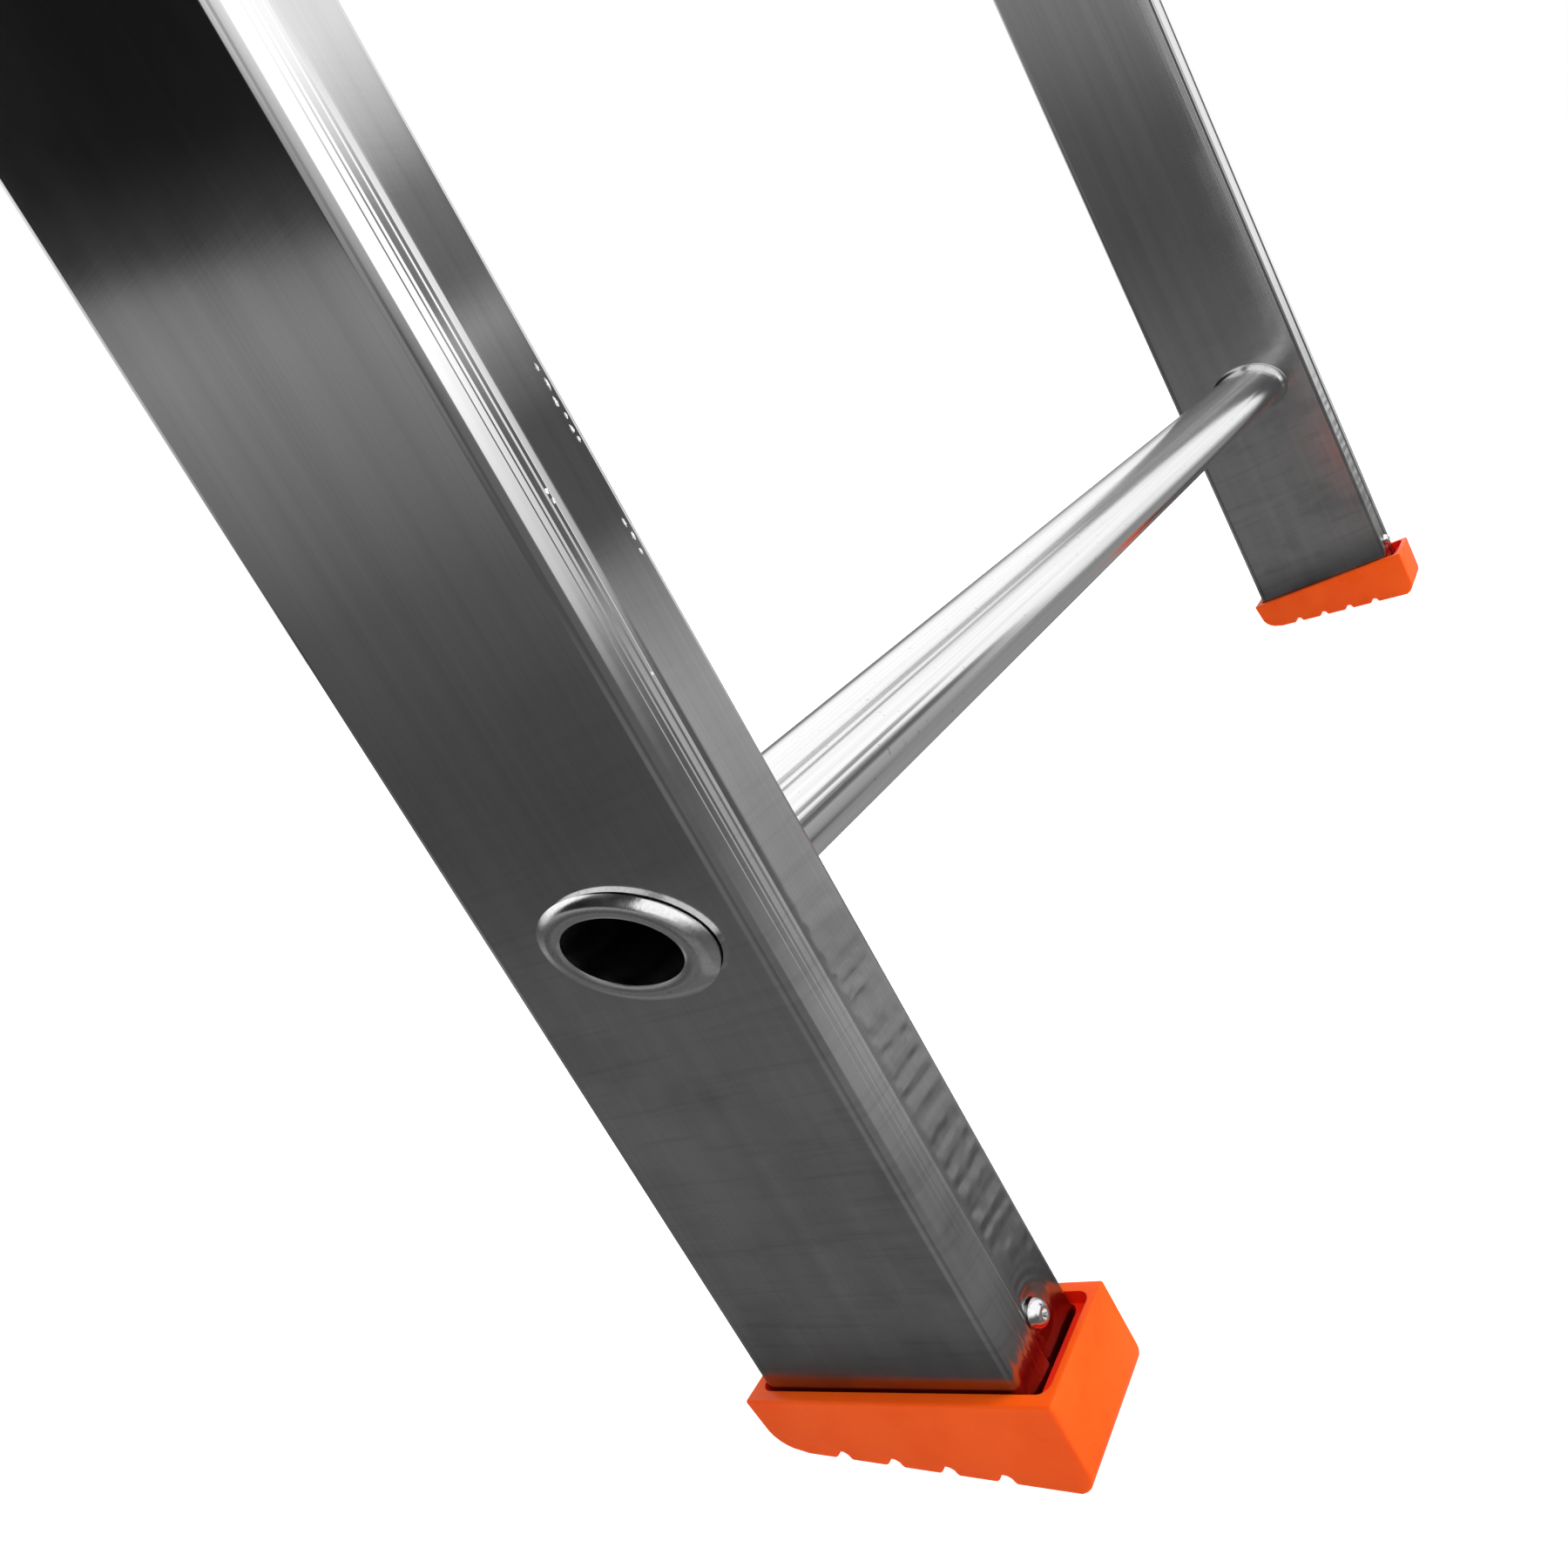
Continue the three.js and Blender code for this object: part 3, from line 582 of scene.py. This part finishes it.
def build_rivet(node, body, material):
    """A rivet along the CAD node's own axis: its head is where the node says."""
    low, high = leaning_box(node)
    middle = (low + high) / 2.0
    size = high - low
    facing_front = node.startswith("foot_rivet")
    radius = min(size.x, size.z) / 2.0 if facing_front else min(size.y, size.z) / 2.0
    length = size.y if facing_front else size.x
    head_height = (FOOT_HEAD_HEIGHT if facing_front else HEAD_HEIGHT) * MM
    if facing_front:
        out, top = Vector((0.0, -1.0, 0.0)), low.y
    else:
        outward = 1.0 if "guide" in node else -1.0
        sign = outward * (1.0 if middle.x > 0.0 else -1.0)
        out, top = Vector((sign, 0.0, 0.0)), (high.x if sign > 0.0 else low.x)
    seat = Vector(middle)
    axis = 1 if facing_front else 0
    seat[axis] = top - out[axis] * head_height
    turn = Vector((0.0, 0.0, 1.0)).rotation_difference(out).to_matrix().to_4x4()
    bm = bmesh.new()
    profile = rivet_profile(radius, head_height, length - head_height)
    rings = [[Vector((max(r, 1e-6) * math.cos(a), max(r, 1e-6) * math.sin(a), z))
              for a in (2.0 * math.pi * i / RIVET_SIDES for i in range(RIVET_SIDES))] for r, z in profile]
    loft(bm, rings)
    bmesh.ops.transform(bm, matrix=Matrix.Translation(seat) @ turn, verts=bm.verts)
    add_piece(f"{node}_fine", bm, body, node, [material], 40.0)


def build_plate(node, body, width):
    """A pressed steel part: the CAD node's own shape with its edges rounded."""
    bm = bmesh.new()
    bm.from_mesh(frame["nodes"][node].data)
    bmesh.ops.transform(bm, matrix=LEANING.transposed(), verts=bm.verts)
    bmesh.ops.remove_doubles(bm, verts=bm.verts, dist=0.01 * MM)
    bmesh.ops.dissolve_limit(bm, angle_limit=math.radians(2.0), verts=bm.verts, edges=bm.edges)
    bm = bevelled(bm, width, 3, 40.0)
    add_piece(f"{node}_fine", bm, body, node, [zinc], 30.0)


# ---- materials ---------------------------------------------------------------

class Looks:
    """A small builder for node materials in the leaning frame."""

    def __init__(self, name):
        self.material = bpy.data.materials.new(name)
        self.material.use_nodes = True
        self.nodes = self.material.node_tree.nodes
        self.links = self.material.node_tree.links
        self.shader = self.nodes["Principled BSDF"]
        coordinates = self.nodes.new("ShaderNodeTexCoord")
        turn = self.nodes.new("ShaderNodeMapping")
        turn.inputs["Rotation"].default_value = LEANING.transposed().to_euler()
        self.link(coordinates.outputs["Object"], turn.inputs["Vector"])
        self.place = turn.outputs["Vector"]

    def link(self, source, target):
        self.links.new(source, target)

    def set(self, **values):
        for name, value in values.items():
            self.shader.inputs[name.replace("_", " ")].default_value = value

    def noise(self, scale, detail=3.0, roughness=0.55, shift=0.0):
        """Noise whose three numbers are features per metre along the leaning axes."""
        stretch = self.nodes.new("ShaderNodeMapping")
        stretch.inputs["Scale"].default_value = scale
        stretch.inputs["Location"].default_value = (shift, shift * 0.7, shift * 1.3)
        self.link(self.place, stretch.inputs["Vector"])
        texture = self.nodes.new("ShaderNodeTexNoise")
        texture.inputs["Scale"].default_value = 1.0
        texture.inputs["Detail"].default_value = detail
        texture.inputs["Roughness"].default_value = roughness
        self.link(stretch.outputs["Vector"], texture.inputs["Vector"])
        return texture.outputs["Fac"]

    def ramp(self, source, stops, smooth=False):
        node = self.nodes.new("ShaderNodeValToRGB")
        node.color_ramp.interpolation = "EASE" if smooth else "LINEAR"
        elements = node.color_ramp.elements
        while len(elements) < len(stops):
            elements.new(0.5)
        for element, (at, value) in zip(elements, stops):
            element.position = at
            colour = value if isinstance(value, tuple) else (value, value, value)
            element.color = (*colour, 1.0)
        self.link(source, node.inputs["Fac"])
        return node.outputs["Color"]

    def mix(self, kind, factor, a, b):
        node = self.nodes.new("ShaderNodeMix")
        node.data_type = "RGBA"
        node.blend_type = kind
        if isinstance(factor, float):
            node.inputs["Factor"].default_value = factor
        else:
            self.link(factor, node.inputs["Factor"])
        self.link(a, node.inputs[6])
        self.link(b, node.inputs[7])
        return node.outputs[2]

    def height(self):
        """Height up the stiles above the ground, in metres."""
        split = self.nodes.new("ShaderNodeSeparateXYZ")
        self.link(self.place, split.inputs["Vector"])
        return split.outputs["Z"]

    def spread(self, source, low, high):
        node = self.nodes.new("ShaderNodeMapRange")
        node.inputs["From Min"].default_value = low
        node.inputs["From Max"].default_value = high
        node.interpolation_type = "SMOOTHSTEP"
        self.link(source, node.inputs["Value"])
        return node.outputs["Result"]

    def bump(self, source, distance, strength=1.0, below=None):
        node = self.nodes.new("ShaderNodeBump")
        node.inputs["Distance"].default_value = distance
        node.inputs["Strength"].default_value = strength
        self.link(source, node.inputs["Height"])
        if below is not None:
            self.link(below, node.inputs["Normal"])
        return node.outputs["Normal"]

    def darken_near_ground(self, colour, patches):
        """The metal darkened in broken patches just above the foot, darkest at the bottom."""
        edge = self.spread(self.height(), 0.026, 0.003)
        broken = self.ramp(patches, ((0.30, 0.55), (0.70, 0.95)), True)
        amount = self.mix("MULTIPLY", 1.0, edge, broken)
        dark_patches = self.ramp(patches, ((0.3, 0.07), (0.7, 0.13)))
        return self.mix("MIX", amount, colour, dark_patches)

    def done(self, colour=None, roughness=None, normal=None):
        for name, source in (("Base Color", colour), ("Roughness", roughness), ("Normal", normal)):
            if source is not None:
                self.link(source, self.shader.inputs[name])
        return self.material


def drawn_aluminium(name, tones, rough, streaks):
    """Aluminium drawn along the stile: long streaks, faint handling marks across."""
    looks = Looks(name)
    looks.set(Metallic=1.0)
    fine = looks.noise((1400.0, 1400.0, 9.0), 4.0)
    broad = looks.noise((190.0, 190.0, 4.0), 3.0, shift=3.0)
    cross = looks.noise((30.0, 24.0, 620.0), 4.0, shift=8.0)
    patch = looks.noise((45.0, 45.0, 28.0), 3.0, shift=5.0)
    smudge = looks.noise((34.0, 34.0, 60.0), 4.0, shift=11.0)
    low = looks.spread(looks.height(), 0.19, 0.04)
    streak = looks.ramp(fine, ((0.3, streaks), (0.7, 1.0)))
    ground = looks.ramp(broad, ((0.25, tones[0]), (0.75, tones[1])), True)
    colour = looks.mix("MULTIPLY", 1.0, ground, streak)
    marks = looks.ramp(cross, ((0.34, 0.90), (0.48, 1.0), (0.66, 1.0), (0.76, 1.08)))
    marked = looks.mix("MULTIPLY", low, colour, marks)
    clouds = looks.ramp(smudge, ((0.32, 0.80), (0.5, 0.97), (0.68, 1.06)), True)
    marked = looks.mix("MULTIPLY", low, marked, clouds)
    clean = looks.ramp(patch, ((0.3, rough[0]), (0.7, rough[1])), True)
    dull = looks.ramp(smudge, ((0.3, 0.17), (0.7, 0.25)), True)
    roughness = looks.mix("MIX", low, clean, dull)
    # Darkens the metal in patches just above the foot.
    marked = looks.darken_near_ground(marked, smudge)
    normal = looks.bump(fine, 0.00003, 0.35)
    normal = looks.bump(cross, 0.00001, 0.2, normal)
    return looks.done(marked, roughness, normal)


def polished_aluminium(name):
    looks = Looks(name)
    looks.set(Metallic=1.0)
    lines = looks.noise((8.0, 1500.0, 1500.0), 3.0)
    broad = looks.noise((5.0, 130.0, 130.0), 2.0, shift=4.0)
    spots = looks.noise((500.0, 500.0, 500.0), 2.0, shift=6.0)
    ground = looks.ramp(lines, ((0.25, 0.80), (0.7, 0.93)))
    worn = looks.ramp(spots, ((0.68, 1.0), (0.76, 0.72)))
    colour = looks.mix("MULTIPLY", 1.0, ground, worn)
    roughness = looks.ramp(broad, ((0.3, 0.13), (0.7, 0.22)), True)
    normal = looks.bump(lines, 0.00003, 0.4)
    return looks.done(colour, roughness, normal)


def torn_metal(name):
    """Fresh, rough metal where an edge was nicked."""
    looks = Looks(name)
    looks.set(Metallic=0.25)
    grain = looks.noise((2500.0, 2500.0, 2500.0), 2.0)
    colour = looks.ramp(grain, ((0.3, 0.72), (0.7, 0.95)))
    roughness = looks.ramp(grain, ((0.3, 0.40), (0.7, 0.60)))
    return looks.done(colour, roughness, looks.bump(grain, 0.00006, 0.5))


def zinc_plate(name):
    looks = Looks(name)
    looks.set(Metallic=1.0)
    clouds = looks.noise((120.0, 120.0, 120.0), 5.0)
    grain = looks.noise((1500.0, 1500.0, 1500.0), 2.0, shift=2.0)
    colour = looks.ramp(clouds, ((0.3, (0.42, 0.44, 0.46)), (0.7, (0.62, 0.63, 0.63))), True)
    roughness = looks.ramp(clouds, ((0.3, 0.28), (0.7, 0.46)), True)
    normal = looks.bump(grain, 0.00004, 0.5)
    return looks.done(colour, roughness, normal)


def orange_plastic(name, dark, pale):
    looks = Looks(name)
    looks.set(Specular_IOR_Level=0.14, Subsurface_Weight=0.25, Subsurface_Scale=0.003)
    looks.set(Subsurface_Radius=(1.0, 0.25, 0.06))
    mottle = looks.noise((55.0, 55.0, 55.0), 3.0)
    grain = looks.noise((2200.0, 2200.0, 2200.0), 2.0, shift=4.0)
    scuffs = looks.noise((150.0, 900.0, 260.0), 3.0, shift=9.0)
    ground = looks.ramp(mottle, ((0.3, dark), (0.7, pale)), True)
    scuffed = looks.ramp(scuffs, ((0.70, 1.0), (0.80, 0.82)))
    colour = looks.mix("MULTIPLY", 1.0, ground, scuffed)
    roughness = looks.ramp(mottle, ((0.3, 0.26), (0.7, 0.36)), True)
    normal = looks.bump(grain, 0.00005, 0.35)
    normal = looks.bump(scuffs, 0.00008, 0.25, normal)
    return looks.done(colour, roughness, normal)


# One drawn aluminium in three tones by face: the front band is painted near-white as a painted highlight,
# and the side and land are painted darker as painted shade.
stile_side_shaded = drawn_aluminium("stile side", (0.66, 0.74), (0.07, 0.12), 0.93)
stile_band_lit = drawn_aluminium("stile band", (0.95, 0.99), (0.07, 0.11), 0.97)
stile_land_shaded = drawn_aluminium("stile land", (0.66, 0.78), (0.06, 0.10), 0.92)
rung_metal = polished_aluminium("rung metal")
zinc = zinc_plate("zinc plate")
orange = orange_plastic("orange plastic", (0.65, 0.064, 0.002), (0.70, 0.080, 0.003))
# Painted shade: a deeper, redder orange for the inside of the foot's pocket, where little light reaches.
pocket_painted_shade = orange_plastic("plastic with painted shade", (0.86, 0.016, 0.004), (0.94, 0.024, 0.006))
fresh_metal = torn_metal("fresh metal")

build_stiles("base", "base")
build_stiles("fly", "fly")
build_rungs("base", "base")
build_rungs("fly", "fly")
build_feet()
for name in sorted(frame["nodes"]):
    owner = "base" if name.startswith(("base_", "foot_")) else "fly"
    if "_cap_" in name:
        build_cap(name, owner)
    elif name.startswith("foot_rivet"):
        build_rivet(name, owner, rung_metal)
    elif "_rivet_" in name or name.startswith("hook_pin"):
        build_rivet(name, owner, zinc)
    elif "_guide_" in name or name.startswith("hook_bracket"):
        build_plate(name, owner, 0.7 * MM)
build_plate("hook_left", "hook_l", 0.9 * MM)
build_plate("hook_right", "hook_r", 0.9 * MM)


# ---- studio ------------------------------------------------------------------

def emission(name, strength):
    material = bpy.data.materials.new(name)
    material.use_nodes = True
    tree = material.node_tree
    tree.nodes.clear()
    output = tree.nodes.new("ShaderNodeOutputMaterial")
    light = tree.nodes.new("ShaderNodeEmission")
    light.inputs["Strength"].default_value = strength
    tree.links.new(light.outputs[0], output.inputs["Surface"])
    return material


def floor_material():
    material = emission("floor", 0.9)
    tree = material.node_tree
    output = next(n for n in tree.nodes if n.type == "OUTPUT_MATERIAL")
    light = next(n for n in tree.nodes if n.type == "EMISSION")
    matte = tree.nodes.new("ShaderNodeBsdfDiffuse")
    matte.inputs["Color"].default_value = (0.55, 0.55, 0.55, 1.0)
    both = tree.nodes.new("ShaderNodeAddShader")
    tree.links.new(light.outputs[0], both.inputs[0])
    tree.links.new(matte.outputs[0], both.inputs[1])
    tree.links.new(both.outputs[0], output.inputs["Surface"])
    return material


def build_room():
    """A pale floor, and a white dome that only the camera sees."""
    bm = bmesh.new()
    bmesh.ops.create_circle(bm, cap_ends=True, segments=96, radius=14.0)
    floor = temporary(bm)
    floor.name = "floor"
    floor.data.materials.append(floor_material())
    floor.visible_glossy = False
    bm = bmesh.new()
    bmesh.ops.create_uvsphere(bm, u_segments=48, v_segments=24, radius=15.0)
    dome = temporary(bm)
    dome.name = "dome"
    dome.data.materials.append(emission("backdrop", 1.0))
    dome.visible_glossy = False
    dome.visible_diffuse = False
    dome.visible_shadow = False
    dome.visible_transmission = False


class Sky:
    """Brightness of the studio by direction, for the metal to reflect."""

    def __init__(self):
        self.world = bpy.data.worlds.new("studio")
        bpy.context.scene.world = self.world
        self.world.use_nodes = True
        self.tree = self.world.node_tree
        coordinates = self.tree.nodes.new("ShaderNodeTexCoord")
        split = self.tree.nodes.new("ShaderNodeSeparateXYZ")
        self.tree.links.new(coordinates.outputs["Generated"], split.inputs[0])
        self.x, self.y, self.z = split.outputs

    def math(self, operation, a, b=0.0, c=0.0):
        node = self.tree.nodes.new("ShaderNodeMath")
        node.operation = operation
        for socket, value in zip(node.inputs, (a, b, c)):
            if isinstance(value, float):
                socket.default_value = value
            else:
                self.tree.links.new(value, socket)
        return node.outputs[0]

    def step(self, value, low, high):
        node = self.tree.nodes.new("ShaderNodeMapRange")
        node.interpolation_type = "SMOOTHSTEP"
        self.tree.links.new(value, node.inputs["Value"])
        node.inputs["From Min"].default_value = low
        node.inputs["From Max"].default_value = high
        return node.outputs["Result"]

    def ramp(self, stops):
        """Brightness against the height of the direction, from -1 (down) to 1 (up)."""
        node = self.tree.nodes.new("ShaderNodeFloatCurve")
        curve = node.mapping.curves[0]
        node.mapping.extend = "HORIZONTAL"
        points = [((z + 1.0) / 2.0, brightness / 1.2) for z, brightness in stops]
        curve.points[0].location = points[0]
        curve.points[1].location = points[-1]
        for place in points[1:-1]:
            curve.points.new(*place)
        for point in curve.points:
            point.handle_type = "VECTOR"
        node.mapping.update()
        self.tree.links.new(self.math("MULTIPLY_ADD", self.z, 0.5, 0.5), node.inputs["Value"])
        return self.math("MULTIPLY", node.outputs["Value"], 1.2)

    def blend(self, mask, a, b):
        """a where the mask is 0 and b where it is 1."""
        return self.math("ADD", self.math("MULTIPLY", a, self.math("SUBTRACT", 1.0, mask)),
                         self.math("MULTIPLY", b, mask))

    def towards(self, azimuth, half_angle, soft):
        """1 within half_angle of a compass direction (0 is +X, 90 is +Y)."""
        a = math.radians(azimuth)
        ahead = self.math("ADD", self.math("MULTIPLY", self.x, math.cos(a)),
                          self.math("MULTIPLY", self.y, math.sin(a)))
        level = self.math("SUBTRACT", 1.0, self.math("MULTIPLY", self.z, self.z))
        flat = self.math("SQRT", self.math("MAXIMUM", level, 0.0001))
        cosine = self.math("DIVIDE", ahead, flat)
        low = math.cos(math.radians(half_angle + soft))
        return self.step(cosine, low, math.cos(math.radians(half_angle)))

    def finish(self, brightness):
        background = self.tree.nodes["Background"]
        self.tree.links.new(brightness, background.inputs["Color"])


def build_sky():
    """Brightness against the height of the direction, for seven parts of the studio."""
    sky = Sky()
    aside = sky.ramp(((-0.60, 0.16), (-0.43, 0.10), (-0.28, 0.28), (-0.15, 0.14), (-0.02, 0.07),
                      (0.06, 0.18), (0.13, 0.52), (0.24, 0.80), (0.32, 1.1), (1.0, 1.1)))
    beyond = sky.ramp(((-0.70, 0.30), (-0.30, 0.27), (-0.15, 0.25), (-0.05, 0.70), (0.03, 1.0),
                       (1.0, 1.15)))
    facing = sky.ramp(((-0.62, 0.05), (-0.48, 0.10), (-0.36, 0.28), (-0.14, 0.36), (-0.01, 0.43),
                       (0.09, 0.26), (0.13, 0.09), (0.22, 0.09), (0.27, 0.24), (0.29, 0.36), (0.32, 0.14),
                       (0.38, 0.20), (0.42, 0.60), (0.47, 1.0), (1.0, 1.1)))
    behind = sky.ramp(((-0.70, 0.12), (-0.52, 0.11), (-0.38, 0.13), (-0.22, 0.075), (-0.12, 0.08),
                       (0.0, 0.115), (0.12, 0.23), (0.19, 0.30), (0.232, 0.26), (0.255, 0.05), (0.31, 0.012),
                       (1.0, 0.006)))
    far_left = sky.ramp(((-0.50, 0.20), (-0.28, 0.15), (-0.18, 0.18), (-0.08, 0.15), (0.02, 0.09),
                         (0.10, 0.11), (0.18, 0.24), (0.35, 0.40), (0.45, 1.0), (1.0, 1.1)))
    left = sky.ramp(((-0.60, 0.14), (0.0, 0.09), (0.25, 0.12), (0.45, 0.5), (0.6, 1.1), (1.0, 1.1)))
    rim = sky.ramp(((-0.45, 0.27), (-0.25, 0.16), (0.08, 0.16), (0.16, 0.9), (0.25, 1.1), (1.0, 1.15)))
    value = sky.blend(sky.towards(20.0, 46.0, 8.0), aside, beyond)
    value = sky.blend(sky.towards(-38.0, 8.0, 3.0), value, facing)
    value = sky.blend(sky.towards(32.0, 14.0, 6.0), value, rim)
    value = sky.blend(sky.towards(195.0, 50.0, 7.0), value, left)
    value = sky.blend(sky.towards(165.0, 12.0, 6.0), value, far_left)
    value = sky.blend(sky.towards(130.0, 17.0, 6.0), value, behind)
    sky.finish(value)


def soft_light(name, place, aim, size, power):
    data = bpy.data.lights.new(name, "AREA")
    data.shape = "DISK"
    data.size = size
    data.energy = power
    obj = bpy.data.objects.new(name, data)
    obj.location = place
    obj.rotation_euler = (Vector(aim) - Vector(place)).to_track_quat("-Z", "Y").to_euler()
    obj.visible_glossy = False
    bpy.context.collection.objects.link(obj)


# The eye is measured from the near stile's outer front edge at the lowest rung's height.
EYE = (-136.8, -135.5, 48.8)
EYE_RIGHT = (0.4452, -0.7644, -0.4664)
EYE_FORWARD = (0.7814, 0.586, -0.2146)
LENS = 28.9
SHIFT_X = -0.0567
SHIFT_Y = 0.0044


def build_camera():
    """Close by the near foot, looking along the lowest rung to the far one."""
    low, high = leaning_box("base_stile_left")
    rung_low, rung_high = leaning_box("base_rung_1")
    rung_height = (rung_low.z + rung_high.z) / 2.0
    eye = Vector((low.x, low.y, rung_height)) + Vector(EYE) * MM
    right = Vector(EYE_RIGHT).normalized()
    forward = Vector(EYE_FORWARD)
    forward = (forward - right * forward.dot(right)).normalized()
    upward = right.cross(forward)
    turn = Matrix((right, upward, -forward)).transposed().to_4x4()
    data = bpy.data.cameras.new("camera")
    data.sensor_width = 36.0
    data.lens = LENS
    data.shift_x = SHIFT_X
    data.shift_y = SHIFT_Y
    data.clip_start = 0.01
    camera = bpy.data.objects.new("camera", data)
    bpy.context.collection.objects.link(camera)
    camera.matrix_world = LEANING @ Matrix.Translation(eye) @ turn
    bpy.context.scene.camera = camera


build_room()
build_sky()
soft_light("key", (0.9, -1.7, 0.9), (0.0, 0.0, 0.1), 1.4, 42.0)
soft_light("fill", (-1.1, -1.3, 0.9), (-0.2, 0.0, 0.0), 0.8, 5.0)
soft_light("overhead", (-0.4, -0.3, 3.6), (0.0, 0.0, 1.0), 2.0, 40.0)
build_camera()
bpy.context.scene.view_settings.view_transform = "Standard"
